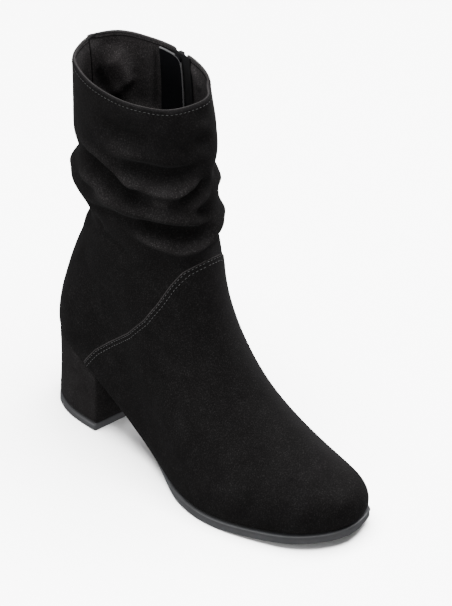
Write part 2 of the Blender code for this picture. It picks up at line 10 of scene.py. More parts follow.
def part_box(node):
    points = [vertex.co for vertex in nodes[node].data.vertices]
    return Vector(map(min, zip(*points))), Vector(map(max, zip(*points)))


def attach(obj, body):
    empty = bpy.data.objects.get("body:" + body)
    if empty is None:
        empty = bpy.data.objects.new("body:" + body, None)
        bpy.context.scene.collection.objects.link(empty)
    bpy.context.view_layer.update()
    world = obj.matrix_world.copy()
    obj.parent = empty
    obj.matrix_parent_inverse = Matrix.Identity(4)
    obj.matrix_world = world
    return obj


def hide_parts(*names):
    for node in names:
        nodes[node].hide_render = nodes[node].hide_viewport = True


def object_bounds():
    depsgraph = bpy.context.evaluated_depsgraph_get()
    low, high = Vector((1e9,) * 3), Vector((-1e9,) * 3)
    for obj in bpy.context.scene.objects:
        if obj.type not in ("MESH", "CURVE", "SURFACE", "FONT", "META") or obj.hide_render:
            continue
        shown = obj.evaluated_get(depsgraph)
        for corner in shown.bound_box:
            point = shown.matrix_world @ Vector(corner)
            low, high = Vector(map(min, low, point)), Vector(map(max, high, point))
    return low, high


# Slouch boot for the right foot: finish, folds, stitching and the photograph's view.
# Lengths are in metres; +X is the inner side of the foot and the toe points to -Y.

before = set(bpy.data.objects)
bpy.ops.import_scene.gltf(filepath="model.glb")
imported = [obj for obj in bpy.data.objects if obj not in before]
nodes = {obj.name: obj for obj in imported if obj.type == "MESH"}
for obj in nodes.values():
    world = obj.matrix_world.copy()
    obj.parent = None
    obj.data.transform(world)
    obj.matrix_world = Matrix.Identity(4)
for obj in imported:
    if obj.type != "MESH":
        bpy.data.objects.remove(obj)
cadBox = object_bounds()
low, high = cadBox
heelY = 0.12125                        # back end of the sole's length
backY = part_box("upper")[1].y           # rearmost point of the upper
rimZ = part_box("upper")[1].z
print("frame loaded, boot", [round(v * 1000) for v in (high - low)], "mm")

copies = {
    "weld": 0.00001,                   # points closer than this are one
    "faceAngle": 35,                   # degrees within which two triangles make a quad
    "shapeAngle": 50,
    "levels": 2,
    "sharpAngle": 50,
}


def newObject(name, bm, material=None):
    mesh = bpy.data.meshes.new(name)
    bm.to_mesh(mesh)
    bm.free()
    made = bpy.data.objects.new(name, mesh)
    bpy.context.scene.collection.objects.link(made)
    if material:
        mesh.materials.append(material)
    return made


def mergedCopy(node):
    # loose triangles of a CAD node, merged and put back into quads
    bm = bmesh.new()
    bm.from_mesh(nodes[node].data)
    bmesh.ops.remove_doubles(bm, verts=bm.verts, dist=copies["weld"])
    bmesh.ops.join_triangles(bm, faces=bm.faces,
                             angle_face_threshold=math.radians(copies["faceAngle"]),
                             angle_shape_threshold=math.radians(copies["shapeAngle"]))
    return bm


def subdivided(made, levels):
    rounder = made.modifiers.new("rounder", "SUBSURF")
    rounder.levels = rounder.render_levels = levels
    bpy.context.view_layer.update()
    graph = bpy.context.evaluated_depsgraph_get()
    mesh = bpy.data.meshes.new_from_object(made.evaluated_get(graph))
    made.modifiers.clear()
    made.data = mesh


def roundedCopy(node, name, material, crease=0.75, sharp=30, shortest=0.0):
    # smooth copy of a CAD node that keeps its sharp edges, apart from those shorter than shortest
    bm = mergedCopy(node)
    layer = bm.edges.layers.float.new("crease_edge")
    for edge in bm.edges:
        if len(edge.link_faces) == 2 and edge.calc_face_angle() > math.radians(sharp):
            edge[layer] = crease if edge.calc_length() > shortest else 0.0
    made = newObject(name, bm, material)
    subdivided(made, copies["levels"])
    made.data.shade_smooth()
    made.data.set_sharp_from_angle(angle=math.radians(copies["sharpAngle"]))
    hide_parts(node)
    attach(made, "boot")
    return made


def tubeAlong(name, points, radius, material):
    curve = bpy.data.curves.new(name + "Path", "CURVE")
    curve.dimensions = "3D"
    curve.bevel_depth = radius
    curve.bevel_resolution = 2
    curve.use_fill_caps = True
    spline = curve.splines.new("POLY")
    spline.points.add(len(points) - 1)
    for target, at in zip(spline.points, points):
        target.co = (*at, 1)
    path = bpy.data.objects.new(name + "Path", curve)
    bpy.context.scene.collection.objects.link(path)
    bpy.context.view_layer.update()
    graph = bpy.context.evaluated_depsgraph_get()
    mesh = bpy.data.meshes.new_from_object(path.evaluated_get(graph))
    bpy.data.objects.remove(path)
    mesh.name = name
    mesh.materials.clear()
    mesh.materials.append(material)
    mesh.shade_smooth()
    made = bpy.data.objects.new(name, mesh)
    bpy.context.scene.collection.objects.link(made)
    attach(made, "boot")
    return made


# materials

def nodeTree(name):
    material = bpy.data.materials.new(name)
    material.use_nodes = True
    tree = material.node_tree
    return material, tree, tree.nodes["Principled BSDF"]


def addNode(tree, kind, **values):
    node = tree.nodes.new(kind)
    for key, value in values.items():
        if key in node.inputs:
            node.inputs[key].default_value = value
        else:
            setattr(node, key, value)
    return node


def noiseAt(tree, scale, detail=3.0, roughness=0.5, stretch=None):
    where = addNode(tree, "ShaderNodeTexCoord")
    source = where.outputs["Object"]
    if stretch:
        mapping = addNode(tree, "ShaderNodeMapping")
        mapping.inputs["Scale"].default_value = stretch
        tree.links.new(source, mapping.inputs["Vector"])
        source = mapping.outputs["Vector"]
    noise = addNode(tree, "ShaderNodeTexNoise", Scale=scale, Detail=detail, Roughness=roughness)
    tree.links.new(source, noise.inputs["Vector"])
    return noise.outputs["Fac"]


def rampOf(tree, factor, stops):
    ramp = addNode(tree, "ShaderNodeValToRGB")
    elements = ramp.color_ramp.elements
    for element, (at, colour) in zip((elements[0], elements[1]), (stops[0], stops[-1])):
        element.position = at
        element.color = (*colour, 1)
    for at, colour in stops[1:-1]:
        elements.new(at).color = (*colour, 1)
    tree.links.new(factor, ramp.inputs["Fac"])
    return ramp.outputs["Color"]


def greyRamp(tree, factor, stops):
    return rampOf(tree, factor, [(at, (tone,) * 3) for at, tone in stops])


def spreadOf(tree, factor, lowest, highest):
    spread = addNode(tree, "ShaderNodeMapRange")
    spread.inputs["To Min"].default_value = lowest
    spread.inputs["To Max"].default_value = highest
    tree.links.new(factor, spread.inputs["Value"])
    return spread.outputs["Result"]


def mixed(tree, kind, factor, first, second):
    mix = addNode(tree, "ShaderNodeMix", data_type="RGBA", blend_type=kind)
    for key, value in (("Factor", factor), ("A", first), ("B", second)):
        socket = mix.inputs[key]
        if isinstance(value, (int, float)):
            socket.default_value = value
        elif isinstance(value, tuple):
            socket.default_value = (*value, 1)
        else:
            tree.links.new(value, socket)
    return mix.outputs["Result"]


def bumpChain(tree, shader, layers):
    # each layer is a height output, a strength and a distance
    last = None
    for height, strength, distance in layers:
        bump = addNode(tree, "ShaderNodeBump", Strength=strength, Distance=distance)
        tree.links.new(height, bump.inputs["Height"])
        if last:
            tree.links.new(last, bump.inputs["Normal"])
        last = bump.outputs["Normal"]
    tree.links.new(last, shader.inputs["Normal"])


suedeLook = {
    "dark": (0.0060, 0.0053, 0.0054),
    "mid": (0.0085, 0.0078, 0.0079),
    "light": (0.0118, 0.0111, 0.0113),
    "edge": (0.040, 0.038, 0.040),     # painted highlight along the rim's upward-facing top and the vamp's ridge
    "cloudsAt": (0.25, 0.5, 0.8),      # noise levels at which the three tones stand
    "fibreScale": 1350,
    "fibres": [(0.32, 0.6), (0.54, 0.92)],
    "fleckAt": 0.72,
    "patchScale": 26,
    "patches": [(0.32, 0.84), (0.68, 1.16)],
    "ridgeHighlight": 2.5,                      # painted highlight on a fold's ridge, as a tone against the flat
    "roughness": 0.95,
    "gloss": 0.12,
    "sheen": 0.025,
    "sheenRoughness": 0.32,
    "sheenTint": (0.97, 0.96, 1.0, 1),
    # scale, detail and roughness of the noise, then strength and depth of the bump
    "bumps": [(60, 4, 0.6, 0.30, 0.0014), (420, 3, 0.6, 0.45, 0.0004), (1500, 2, 0.7, 0.5, 0.00015)],
}


# the nap is darkened in a fold's trough, a painted shade, and lightened on its ridge, a painted
# highlight
def suedeMaterial(name, lift=1.0, cloudScale=85, fleck=2.9, troughShade=0.6):
    look = suedeLook
    material, tree, shader = nodeTree(name)
    tones = [tuple(c * lift for c in look[key]) for key in ("dark", "mid", "light")]
    nap = rampOf(tree, noiseAt(tree, cloudScale, 5, 0.65), list(zip(look["cloudsAt"], tones)))
    fibres = greyRamp(tree, noiseAt(tree, look["fibreScale"], 2, 0.7),
                      look["fibres"] + [(look["fleckAt"], fleck)])
    patches = greyRamp(tree, noiseAt(tree, look["patchScale"], 3, 0.6), look["patches"])
    foldShadeAndHighlight = addNode(tree, "ShaderNodeAttribute", attribute_name="foldShadeAndHighlight")     # painted shade in troughs at -1, painted highlight on ridges at 1
    depth = addNode(tree, "ShaderNodeMapRange")
    depth.inputs["From Min"].default_value = -1.0
    tree.links.new(foldShadeAndHighlight.outputs["Fac"], depth.inputs["Value"])
    foldShadeAndHighlightTones = greyRamp(tree, depth.outputs["Result"], [(0.0, troughShade), (0.5, 1.0), (1.0, look["ridgeHighlight"])])
    for layer in (fibres, patches, foldShadeAndHighlightTones):
        nap = mixed(tree, "MULTIPLY", 1.0, nap, layer)
    # painted highlight on the rim's top and painted sheen along the vamp's ridge
    paintedHighlight = addNode(tree, "ShaderNodeAttribute", attribute_name="paintedHighlight")
    colour = mixed(tree, "MIX", paintedHighlight.outputs["Fac"], nap, look["edge"])
    tree.links.new(colour, shader.inputs["Base Color"])
    shader.inputs["Roughness"].default_value = look["roughness"]
    shader.inputs["Specular IOR Level"].default_value = look["gloss"]
    shader.inputs["Sheen Weight"].default_value = look["sheen"]
    shader.inputs["Sheen Roughness"].default_value = look["sheenRoughness"]
    shader.inputs["Sheen Tint"].default_value = look["sheenTint"]
    bumpChain(tree, shader, [(noiseAt(tree, scale, detail, rough), strength, height)
                             for scale, detail, rough, strength, height in look["bumps"]])
    return material


rubberLook = {"body": (0.066, 0.067, 0.071), "paler": 1.35, "roughness": (0.34, 0.55)}


def rubberMaterial(name, tone=1.0):
    material, tree, shader = nodeTree(name)
    body = tuple(c * tone for c in rubberLook["body"])
    paler = tuple(c * rubberLook["paler"] for c in body)
    colour = rampOf(tree, noiseAt(tree, 90, 5, 0.6), [(0.35, body), (0.7, paler)])
    tree.links.new(colour, shader.inputs["Base Color"])
    rough = spreadOf(tree, noiseAt(tree, 260, 3, 0.6), *rubberLook["roughness"])
    tree.links.new(rough, shader.inputs["Roughness"])
    bumpChain(tree, shader, [(noiseAt(tree, 700, 2, 0.5), 0.12, 0.0001)])
    return material


threadLook = {"pale": (1.6, 1.6, 1.65), "roughness": 0.6, "twist": (1, 1, 3)}


def threadMaterial(name, tone):
    look = threadLook
    material, tree, shader = nodeTree(name)
    pale = tuple(tone * share for share in look["pale"])
    colour = rampOf(tree, noiseAt(tree, 1200, 2, 0.5), [(0.3, (tone,) * 3), (0.7, pale)])
    tree.links.new(colour, shader.inputs["Base Color"])
    shader.inputs["Roughness"].default_value = look["roughness"]
    bumpChain(tree, shader, [(noiseAt(tree, 2600, 1, 0.5, look["twist"]), 0.4, 0.0001)])
    return material


fabricLook = {"dark": 0.6, "pale": 1.3, "roughness": 0.8, "weaveBump": (0.4, 0.00015)}


def fabricMaterial(name, colour, scale=1500, gloss=0.3):
    look = fabricLook
    material, tree, shader = nodeTree(name)
    where = addNode(tree, "ShaderNodeTexCoord")
    weave = addNode(tree, "ShaderNodeTexWave", Scale=scale, Distortion=0.6, bands_direction="Z")
    tree.links.new(where.outputs["Object"], weave.inputs["Vector"])
    dark, pale = (tuple(c * look[key] for c in colour) for key in ("dark", "pale"))
    tint = rampOf(tree, weave.outputs["Fac"], [(0.2, dark), (0.8, pale)])
    tree.links.new(tint, shader.inputs["Base Color"])
    shader.inputs["Roughness"].default_value = look["roughness"]
    shader.inputs["Specular IOR Level"].default_value = gloss
    bumpChain(tree, shader, [(weave.outputs["Fac"], *look["weaveBump"])])
    return material


metalLook = {"dark": (0.035, 0.035, 0.038), "pale": (0.075, 0.075, 0.08), "roughness": (0.28, 0.42)}


def metalMaterial():
    look = metalLook
    material, tree, shader = nodeTree("dark zip metal")
    colour = rampOf(tree, noiseAt(tree, 300, 3, 0.5), [(0.3, look["dark"]), (0.7, look["pale"])])
    tree.links.new(colour, shader.inputs["Base Color"])
    shader.inputs["Metallic"].default_value = 1.0
    rough = spreadOf(tree, noiseAt(tree, 500, 3, 0.6), *look["roughness"])
    tree.links.new(rough, shader.inputs["Roughness"])
    return material


upperSuede = suedeMaterial("black suede")
# the lining's troughs take a deeper painted shade
innerSuede = suedeMaterial("suede lining", lift=6.4, cloudScale=32, fleck=2.2, troughShade=0.22)
# the cut edges are paler, a painted highlight along them
highlightedEdgeSuede = suedeMaterial("cut suede edge with painted highlight", lift=6.0, fleck=1.8)
heelSuede = suedeMaterial("heel cover suede", lift=2.2, cloudScale=60, fleck=1.8)
soleRubber = rubberMaterial("sole rubber")
topPieceRubber = rubberMaterial("top piece rubber", 0.9)
seamThread = threadMaterial("grey seam thread", 0.070)
rimThread = threadMaterial("dark rim thread", 0.040)
zipFabric = fabricMaterial("zip tape weave", (0.011, 0.011, 0.012))
guardFabric = fabricMaterial("guard webbing", (0.0055, 0.0055, 0.0070), 2200, gloss=0.10)
bindingFabric = fabricMaterial("grey edge binding", (0.17, 0.17, 0.175), 2600)
zipMetal = metalMaterial()
print("materials made")

# upper

zipLook = {
    "footGap": 0.0015,                 # the coil starts above the tape's foot and ends below its top
    "topGap": 0.0005,
    "pitch": 0.0011,
    "reach": 0.0030,
    "thick": 0.0011,
    "offMiddle": 0.28,                 # a link's place to the side, as a share of its reach
    "rise": 0.0026,                    # lift of the tape's end, up to the rim
    "riseOver": 0.003,
}


def levelCut(bm, z):
    # points where the edges of a mesh cross a height
    cut = []
    for edge in bm.edges:
        a, b = edge.verts[0].co, edge.verts[1].co
        if (a.z - z) * (b.z - z) < 0:
            cut.append(a.lerp(b, (z - a.z) / (b.z - a.z)))
    return cut


def eased(line):
    # each inner point of a line drawn towards its neighbours
    return [(a + b * 2 + c) / 4 for a, b, c in zip(line, line[1:], line[2:])]


def coilLine():
    # middle of the coil's face, from level cuts through the tape
    bm = mergedCopy("zip_tape")
    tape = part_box("zip_tape")
    points = []
    for z in np.arange(tape[0].z + zipLook["footGap"], tape[1].z - zipLook["topGap"], zipLook["pitch"]):
        cut = sorted(levelCut(bm, z), key=lambda p: p.x, reverse=True)
        if len(cut) > 1:
            points.append((cut[0] + cut[1]) / 2)
    bm.free()
    return eased(points)


coilPoints = coilLine()

upperForm = {
    "levels": 2,
    "axisX": -0.001,                   # middle of the shaft
    "axisY": backY - 0.0620,
    "halfWidth": 0.0335,
    "halfDepth": 0.0500,
    "shaftFoot": 0.118,                # creases of the shaft start above this height
    "shaftFade": 0.012,
    "zipFlat": 0.006,                  # distance from the zip within which nothing creases
    "droop": 0.5,                      # how far a ridge sags, as a share of its push
    "degree": 0.00076,                 # length of a degree round the shaft
    "softening": 3,                    # rounds of smoothing over the folds
    "softBelowRim": 0.008,
    "fullFoldShadeAt": 0.0042,                # push at which a fold's painted shade and highlight are full
    "facesIn": -0.3,                   # slope of the normal beyond which a point is lining
    "liningGap": 0.002,                # folds of the lining fade out below the rim
    "liningFade": 0.006,
    "liningRidgeHighlight": 0.4,                # share of the painted highlight on the lining's ridges
    "liningFoot": 0.13,                # the lining's suede starts above this height
    "rimHighlightBand": 0.004,                  # painted highlight on the rim's top: its height and how far it faces up
    "rimUp": 0.25,
    "rimIn": 0.004,
    "paintedHighlight": 1.0,
    "outerRimHighlight": 0.16,
    "sheenBelow": 0.15,                  # the vamp's painted sheen lies below this height
    "ridgeSheenLift": 0.32,                   # how much painted sheen shows along the vamp's ridge
    "sharpAngle": 60,
}

# Creases: how far they push out (troughs are negative) and half width in mm, and the
# line they follow as (angle, height in mm). The angle runs back 0, outer side 90, front 180
creases = [
    (-5.0, 5.2, [(62, 199), (80, 198), (98, 194), (112, 190), (123, 188)]),
    (-4.8, 5.0, [(104, 210), (124, 212), (142, 211), (160, 211), (178, 212)]),
    (4.3, 3.6, [(102, 202), (116, 201), (132, 200), (150, 201), (164, 204), (174, 207)]),
    (2.6, 3.4, [(130, 190), (137, 191), (144, 190)]),
    (1.8, 3.4, [(64, 208), (85, 209), (104, 204), (118, 199)]),
    (3.0, 3.6, [(60, 184), (80, 186), (98, 182)]),
    (-3.6, 3.2, [(186, 203), (176, 199), (164, 195), (152, 191)]),
    (3.0, 3.2, [(186, 195), (174, 190), (160, 186)]),
    (-3.0, 3.0, [(172, 183), (180, 181), (186, 180)]),
    (2.4, 4.2, [(80, 176), (98, 181), (122, 183), (145, 182), (165, 179), (184, 173)]),
    (-2.4, 2.6, [(60, 161), (67, 163), (100, 172), (122, 173), (142, 173), (164, 170), (182, 164)]),
    (-5.2, 4.2, [(118, 172), (144, 170), (162, 168), (188, 168)]),
    (4.4, 3.3, [(116, 164), (134, 162), (150, 160), (168, 160), (182, 163), (190, 170)]),
    (-3.0, 7.0, [(88, 233), (106, 234), (128, 233)]),
    (1.4, 5.0, [(166, 243), (178, 241), (188, 238)]),
    (2.0, 6.0, [(92, 221), (108, 221), (124, 221)]),
    (-2.2, 5.0, [(170, 233), (180, 230), (190, 225)]),
    (-1.5, 8.0, [(132, 228), (150, 226), (168, 226)]),
    (-1.4, 2.6, [(75, 159), (84, 149), (104, 146), (116, 142)]),
    # inner side and back
    (-3.4, 3.4, [(200, 202), (226, 206), (246, 203)]),
    (2.4, 3.6, [(206, 194), (236, 192), (258, 188)]),
    (-3.6, 3.6, [(222, 182), (244, 180), (262, 175)]),
    (2.4, 3.6, [(210, 171), (238, 170), (260, 166)]),
    (-3.2, 3.2, [(208, 158), (232, 161), (252, 166)]),
    (-3.4, 3.6, [(280, 193), (298, 196), (320, 202)]),
    (2.2, 3.8, [(284, 183), (304, 182), (330, 180)]),
    (-3.4, 3.6, [(284, 171), (308, 166), (334, 163)]),
    (2.0, 3.6, [(290, 157), (312, 155), (336, 153)]),
    (-2.2, 3.0, [(276, 147), (292, 146), (312, 143)]),
    (-3.6, 3.8, [(-14, 196), (16, 193), (48, 197)]),
    (2.6, 4.0, [(-16, 184), (14, 182), (48, 180)]),
    (-2.8, 3.4, [(-20, 173), (2, 171), (24, 168)]),
    (-3.2, 3.4, [(2, 152), (28, 149), (56, 154)]),
    (2.2, 3.6, [(-14, 161), (14, 160), (42, 163)]),
    (-2.0, 4.4, [(-34, 216), (-10, 211), (14, 207)]),
    (3.0, 5.0, [(-5, 255), (3, 257)]),
]
# the same for the lining alone, where a ridge stands into the shaft and a trough is only painted shade
liningFolds = [
    (3.8, 8.5, [(342, 241), (332, 231), (320, 218)]),
    (-6.0, 4.4, [(358, 236), (350, 224), (341, 215), (329, 203)]),
    (-2.6, 2.6, [(352, 250), (343, 250), (332, 251)]),
    (-2.0, 5.0, [(316, 232), (314, 218), (310, 210)]),
    (1.6, 4.0, [(266, 251), (257, 245), (251, 237)]),
    (-3.0, 1.7, [(301, 251), (300, 230), (299, 206)]),
    (-2.2, 3.0, [(274, 248), (270, 238), (266, 228)]),
]


def shaftAngles(points):
    form = upperForm
    across = (form["axisX"] - points[:, 0]) / form["halfWidth"]
    along = (points[:, 1] - form["axisY"]) / form["halfDepth"]
    return np.degrees(np.arctan2(across, along)) % 360


def besideZip(points):
    # 0 near the zip, where the upper stays flat, and 1 away from it
    coil = np.array(coilPoints)
    zipAngle = np.interp(points[:, 2], coil[:, 2], shaftAngles(coil))
    beside = np.abs((shaftAngles(points) - zipAngle + 180) % 360 - 180) * upperForm["degree"]
    return np.clip((beside - upperForm["zipFlat"]) / upperForm["zipFlat"], 0, 1)


def creasePush(points, rows):
    # how far the creases move each point away from the shaft's axis
    degree = upperForm["degree"]
    angles, heights = shaftAngles(points), points[:, 2]
    total = np.zeros(len(points))
    for depth, width, line in rows:
        nearest = np.ones(len(points))
        share = np.zeros(len(points))
        for k in range(len(line) - 1):
            (a0, z0), (a1, z1) = line[k], line[k + 1]
            da, dz = (a1 - a0) * degree, (z1 - z0) * 0.001
            pa = ((angles - a0 + 180) % 360 - 180) * degree
            pz = heights - z0 * 0.001
            t = np.clip((pa * da + pz * dz) / (da * da + dz * dz), 0, 1)
            gap = np.hypot(pa - t * da, pz - t * dz)
            share = np.where(gap < nearest, (k + t) / (len(line) - 1), share)
            nearest = np.minimum(nearest, gap)
        fade = np.minimum(1.0, 6 * share * (1 - share) + 0.2)
        total += depth * 0.001 * fade * np.exp(-(nearest / (width * 0.001)) ** 2)
    return total * besideZip(points)


def vertexArray(mesh):
    points = np.empty(len(mesh.vertices) * 3)
    mesh.vertices.foreach_get("co", points)
    return points.reshape(-1, 3)


vampSheen = {
    # crest of the vamp seen from above: y along the foot, x of the painted sheen band's middle
    "crest": [(-0.125, 0.027), (-0.100, 0.031), (-0.070, 0.030),
              (-0.035, 0.025), (0.000, 0.018), (0.020, 0.014)],
    "halfWidth": 0.011,
    "toeEnd": -0.118,
    "shaftEnd": 0.030,
    "endFade": 0.03,
    "foot": 0.02,                      # the band fades in over this height, and starts above it
}


def ridgeSheenShare(at):
    # painted sheen along the vamp's ridge, strongest on its crest
    nap = vampSheen
    ys, xs = zip(*nap["crest"])
    middle = float(np.interp(at.y, ys, xs))
    toeFade = min(1.0, max(0.0, (at.y - nap["toeEnd"]) / nap["endFade"]))
    shaftFade = min(1.0, max(0.0, (nap["shaftEnd"] - at.y) / nap["endFade"]))
    footFade = min(1.0, max(0.0, (at.z - nap["foot"]) / nap["foot"]))
    return math.exp(-((at.x - middle) / nap["halfWidth"]) ** 2) * toeFade * shaftFade * footFade


def softenFolds(mesh, chosen):
    bm = bmesh.new()
    bm.from_mesh(mesh)
    verts = [vert for vert, use in zip(bm.verts, chosen) if use]
    for _ in range(upperForm["softening"]):
        bmesh.ops.smooth_vert(bm, verts=verts, factor=0.5,
                              use_axis_x=True, use_axis_y=True, use_axis_z=True)
    bm.to_mesh(mesh)
    bm.free()


def shapeUpper():
    form = upperForm
    made = newObject("suedeUpper", mergedCopy("upper"))
    subdivided(made, form["levels"])
    mesh = made.data
    points = vertexArray(mesh)
    normals = np.empty(len(mesh.vertices) * 3)
    mesh.vertices.foreach_get("normal", normals)
    out = points[:, :2] - (form["axisX"], form["axisY"])
    out /= np.linalg.norm(out, axis=1, keepdims=True)
    inner = (normals.reshape(-1, 3)[:, :2] * out).sum(axis=1) < form["facesIn"]
    onShaft = np.clip((points[:, 2] - form["shaftFoot"]) / form["shaftFade"], 0, 1)
    belowRim = np.clip((rimZ - form["liningGap"] - points[:, 2]) / form["liningFade"], 0, 1)
    push = creasePush(points, creases) * onShaft
    lining = creasePush(points, liningFolds) * inner * belowRim
    # painted shade in the troughs and painted highlight on the ridges, weaker on the lining's ridges
    liningShadeAndHighlight = np.minimum(lining, lining * form["liningRidgeHighlight"])
    tone = np.where(inner, liningShadeAndHighlight, push) / form["fullFoldShadeAt"]
    push -= np.maximum(lining, 0)
    points[:, :2] += out * push[:, None]
    points[:, 2] -= form["droop"] * np.maximum(push, 0)
    mesh.vertices.foreach_set("co", points.ravel())
    mesh.update()
    soft = besideZip(points) * onShaft * (points[:, 2] < rimZ - form["softBelowRim"]) > 0.9
    softenFolds(mesh, soft)
    foldShadeAndHighlight = mesh.attributes.new("foldShadeAndHighlight", "FLOAT", "POINT")
    foldShadeAndHighlight.data.foreach_set("value", np.clip(tone, -1, 1))
    # painted highlight on the rim's upward-facing top, painted sheen along the vamp's ridge
    paintedHighlight = mesh.attributes.new("paintedHighlight", "FLOAT", "POINT")
    for vert, value in zip(mesh.vertices, paintedHighlight.data):
        at, normal = vert.co, vert.normal
        if at.z > rimZ - form["rimHighlightBand"] and normal.z > form["rimUp"]:
            facesIn = (form["axisX"] - at.x) * normal.x + (form["axisY"] - at.y) * normal.y
            value.value = form["paintedHighlight"] if facesIn > form["rimIn"] else form["outerRimHighlight"]
        elif at.z < form["sheenBelow"]:
            value.value = form["ridgeSheenLift"] * ridgeSheenShare(at)
    mesh.materials.clear()
    mesh.materials.append(upperSuede)
    mesh.materials.append(innerSuede)
    mesh.shade_smooth()
    mesh.set_sharp_from_angle(angle=math.radians(form["sharpAngle"]))
    for face in mesh.polygons:
        outward = Vector((face.center.x - form["axisX"], face.center.y - form["axisY"], 0))
        if face.center.z > form["liningFoot"] and outward.dot(face.normal) < 0:
            face.material_index = 1
    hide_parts("upper")
    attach(made, "boot")
    return made


suedeUpper = shapeUpper()
upperTree = BVHTree.FromObject(suedeUpper, bpy.context.evaluated_depsgraph_get())
print("upper shaped,", len(suedeUpper.data.polygons), "faces")

# stitching

stitching = {
    "length": 0.0021,
    "pitch": 0.0028,
    "thick": 0.00046,
    "lift": 0.15,                      # height of a stitch's middle, as a share of its thickness
    "longestGap": 0.02,                # a row is broken where its points are further apart
    "castFrom": 0.2,                   # distance from which rays look for the surface
    "rows": (0.0011, 0.0033),          # rows on the vamp, from its edge
    "edgeAt": 0.0001,
    "edgeRadius": 0.0004,
    "edgeEvery": 3,                    # the cut edge takes every third point of its line
    "start": 0.040,                    # the vamp's line starts this far from the boot's back
    "reach": 0.092,
    "steps": 520,
    "frontSteps": 8,
    "slopeOver": 0.002,
    "rimDrop": 0.0032,
    "rimEdgeDrop": 0.0009,
    "rimEdgeRadius": 0.0006,
    "rimSeamDrop": 0.0034,             # line inside the rim, below its cut edge
    "rimSeamRadius": 0.0003,
    "rimZipGap": 7,                    # degrees left free on each side of the zip
    "nearAxis": 0.02,                  # hits this close to the shaft's axis came through the slit
}

# edge of the vamp, seen from the side: millimetres from the boot's back, height
vampEdge = [(36.4, 30.7), (43.9, 45.1), (56.3, 62.5), (66.9, 73.2), (83.9, 88.8), (92.4, 99.3),
            (96.5, 104.4), (104.0, 119.0), (109.4, 132.1), (114.5, 142.8), (120.3, 149.2),
            (126.1, 151.6)]


def surfacePoints(rays):
    # place and normal where each ray, a start and a direction, meets the upper
    found = (upperTree.ray_cast(start, direction) for start, direction in rays)
    return [(hit, normal) for hit, normal, _, _ in found if hit is not None]


def vampHeight(u):
    xs = [p[0] * 0.001 for p in vampEdge]
    zs = [p[1] * 0.001 for p in vampEdge]
    return float(np.interp(u, xs, zs))


def seamLine(offset, side):
    # points on the surface along the vamp's edge, moved into the vamp by offset
    look = stitching
    far, over = look["castFrom"], look["slopeOver"]
    rays = []
    for k in range(look["steps"]):
        u = look["start"] + look["reach"] * (1 - (1 - k / (look["steps"] - 1)) ** 2)
        slope = (vampHeight(u + over) - vampHeight(u - over)) / (2 * over)
        size = math.hypot(1, slope)
        y = heelY - (u + slope / size * offset)
        z = vampHeight(u) - offset / size
        rays.append((Vector((side * far, y, z)), Vector((-side, 0, 0))))
    points = surfacePoints(rays)
    end = points[-1][0].copy()
    toMiddle = [end.x * (1 - k / look["frontSteps"]) for k in range(1, look["frontSteps"] + 1)]
    return points + surfacePoints([(Vector((x, -far, end.z)), Vector((0, 1, 0))) for x in toMiddle])


def evenly(points, pitch):
    out, carried = [], 0.0
    for (a, na), (b, nb) in zip(points, points[1:]):
        step = (b - a).length
        if step > stitching["longestGap"]:
            continue
        while carried < step:
            t = carried / step if step else 0
            out.append((a.lerp(b, t), na.lerp(nb, t).normalized(), (b - a).normalized()))
            carried += pitch
        carried -= step
    return out


def addStitches(bm, points):
    length, thick = stitching["length"], stitching["thick"]
    for at, normal, along in evenly(points, stitching["pitch"]):
        side = along.cross(normal).normalized()
        turn = Matrix((along, side, normal)).transposed().to_4x4()
        place = Matrix.Translation(at + normal * thick * stitching["lift"]) @ turn
        shape = Matrix.Diagonal((length, thick, thick, 1))
        bmesh.ops.create_icosphere(bm, subdivisions=1, radius=0.5, matrix=place @ shape)


def roundShaft(degrees):
    angle = math.radians(degrees)
    return Vector((math.sin(-angle), math.cos(angle), 0))


def rimMiddle(drop):
    return Vector((upperForm["axisX"], upperForm["axisY"], rimZ - drop))


def rimLine():
    # outside the rim, where the row of stitches runs
    centre = rimMiddle(stitching["rimDrop"])
    outs = [roundShaft(k) for k in range(361)]
    points = surfacePoints([(centre + out * stitching["castFrom"], -out) for out in outs])
    return [(hit, normal) for hit, normal in points if (hit - centre).length > stitching["nearAxis"]]


def insideRim(drop):
    # along the rim's inner side, from one side of the zip round to the other
    centre = rimMiddle(drop)
    zipSide = coilPoints[-1] - centre
    start = math.degrees(math.atan2(-zipSide.x, zipSide.y))
    gap = stitching["rimZipGap"]
    rays = [(centre, roundShaft(start + k)) for k in range(gap, 361 - gap)]
    return [hit for hit, normal in surfacePoints(rays)]


def sew(name, rows, thread):
    bm = bmesh.new()
    for row in rows:
        addStitches(bm, row)
    made = newObject(name, bm, thread)
    made.data.shade_smooth()
    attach(made, "boot")
    print(name, "sewn,", len(made.data.polygons), "faces")


# pale tubes along the cut edges: a painted highlight
for side, name in ((-1, "outerVampEdge"), (1, "innerVampEdge")):
    edge = [hit for hit, normal in seamLine(stitching["edgeAt"], side)]
    made = tubeAlong(name, edge[::stitching["edgeEvery"]], stitching["edgeRadius"], highlightedEdgeSuede)
for name, key, material, slot in (("rimCutEdge", "rimEdge", highlightedEdgeSuede, "suede"),
                                  ("rimSeam", "rimSeam", upperSuede, "lining")):
    line = insideRim(stitching[key + "Drop"])
    tubeAlong(name, line, stitching[key + "Radius"], material)
sew("rimStitches", [rimLine()], rimThread)
sew("seamStitches", [seamLine(offset, side) for side in (-1, 1) for offset in stitching["rows"]],
    seamThread)

# heel, sole and inside

